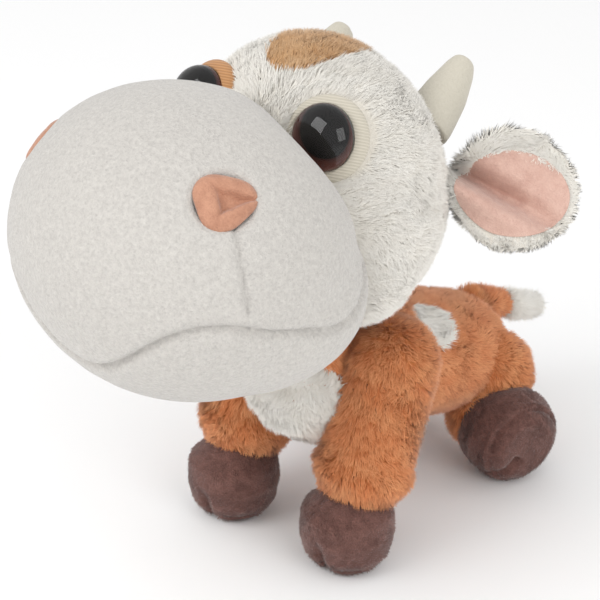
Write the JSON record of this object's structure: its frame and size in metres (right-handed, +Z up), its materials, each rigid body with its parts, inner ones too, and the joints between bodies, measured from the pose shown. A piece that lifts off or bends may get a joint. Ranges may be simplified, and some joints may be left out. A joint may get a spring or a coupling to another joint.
{
  "type": "plush cow",
  "caption": "Stuffed toy cow standing on its hooves, with a large velour muzzle, safety eyes, felt horns, soft ears and a fleece body.",
  "frame": {"origin": "on the ground under the middle of the toy's box", "axes": "-Y the way the cow faces, +X its left side, +Z up"},
  "size_m": [0.1406, 0.2396, 0.1728],
  "materials": {
    "cream_fleece": "long-pile fleece",
    "cream_velour": "short velour",
    "tan_fleece": "long-pile fleece",
    "tan_knit": "knit",
    "rib_knit": "fine rib knit",
    "pink_velour": "short velour",
    "salmon_velour": "short velour",
    "brown_velour": "short velour",
    "felt": "pressed felt",
    "filling": "polyester wadding",
    "pellets": "plastic pellets in a thin cloth bag",
    "clear_plastic": "polished clear over dark paint",
    "iris_paint": "painted dark brown",
    "black_plastic": "moulded",
    "white_plastic": "moulded"
  },
  "bodies": {
    "torso": {"body_plush": "tan_fleece", "chest_panel": "cream_fleece", "back_patch": "cream_fleece", "body_stuffing": "filling", "pellet_bag": "pellets"},
    "head": {"head_plush": "cream_fleece", "crown_patch": "tan_fleece", "head_stuffing": "filling", "muzzle_plush": "cream_velour", "chin_panel": "cream_velour", "eye_patch_left": "rib_knit", "eye_dome_left": "clear_plastic", "eye_iris_left": "iris_paint", "eye_shank_left": "black_plastic", "eye_washer_left": "white_plastic", "horn_left": "felt", "nostril_left": "salmon_velour", "eye_patch_right": "tan_knit", "eye_dome_right": "clear_plastic", "eye_iris_right": "iris_paint", "eye_shank_right": "black_plastic", "eye_washer_right": "white_plastic", "horn_right": "felt", "nostril_right": "salmon_velour"},
    "ear_left": {"ear_left_outer": "cream_fleece", "ear_left_inner": "pink_velour"},
    "ear_right": {"ear_right_outer": "cream_fleece", "ear_right_inner": "pink_velour"},
    "tail": {"tail_plush": "tan_fleece", "tail_tip": "cream_fleece"},
    "front_leg_left": {"front_leg_left_plush": "tan_fleece", "front_leg_left_stuffing": "filling", "front_hoof_left": "brown_velour", "front_sole_left": "brown_velour"},
    "hind_leg_left": {"hind_leg_left_plush": "tan_fleece", "hind_leg_left_stuffing": "filling", "hind_hoof_left": "brown_velour", "hind_sole_left": "brown_velour"},
    "front_leg_right": {"front_leg_right_plush": "tan_fleece", "front_leg_right_stuffing": "filling", "front_hoof_right": "brown_velour", "front_sole_right": "brown_velour"},
    "hind_leg_right": {"hind_leg_right_plush": "tan_fleece", "hind_leg_right_stuffing": "filling", "hind_hoof_right": "brown_velour", "hind_sole_right": "brown_velour"}
  },
  "joints": [
    {"name": "neck_turn", "type": "hinge", "parent": "torso", "child": "head", "pos_m": [0, -0.01459, 0.0856], "axis": [0, 0, 1], "range_deg": [-12, 12], "stiffness_Nm_per_rad": 0.4},
    {"name": "ear_left_flap", "type": "hinge", "parent": "head", "child": "ear_left", "pos_m": [0.03834, 0.0074, 0.12861], "axis": [0.2115, -0.4121, -0.8863], "range_deg": [-20, 20], "stiffness_Nm_per_rad": 0.1},
    {"name": "ear_right_flap", "type": "hinge", "parent": "head", "child": "ear_right", "pos_m": [-0.03834, 0.0074, 0.12861], "axis": [0.2115, 0.4121, 0.8863], "range_deg": [-20, 20], "stiffness_Nm_per_rad": 0.1},
    {"name": "front_leg_left_swing", "type": "hinge", "parent": "torso", "child": "front_leg_left", "pos_m": [0.0265, -0.00579, 0.067], "axis": [1, 0, 0], "range_deg": [-12, 12], "stiffness_Nm_per_rad": 2},
    {"name": "hind_leg_left_swing", "type": "hinge", "parent": "torso", "child": "hind_leg_left", "pos_m": [0.019, 0.06321, 0.0325], "axis": [1, 0, 0], "range_deg": [-12, 12], "stiffness_Nm_per_rad": 2},
    {"name": "front_leg_right_swing", "type": "hinge", "parent": "torso", "child": "front_leg_right", "pos_m": [-0.0265, -0.00579, 0.067], "axis": [1, 0, 0], "range_deg": [-12, 12], "stiffness_Nm_per_rad": 2},
    {"name": "hind_leg_right_swing", "type": "hinge", "parent": "torso", "child": "hind_leg_right", "pos_m": [-0.019, 0.06321, 0.0325], "axis": [1, 0, 0], "range_deg": [-12, 12], "stiffness_Nm_per_rad": 2},
    {"name": "tail_wag", "type": "hinge", "parent": "torso", "child": "tail", "pos_m": [0, 0.07521, 0.05], "axis": [0, 0, 1], "range_deg": [-20, 20], "stiffness_Nm_per_rad": 0.1}
  ]
}
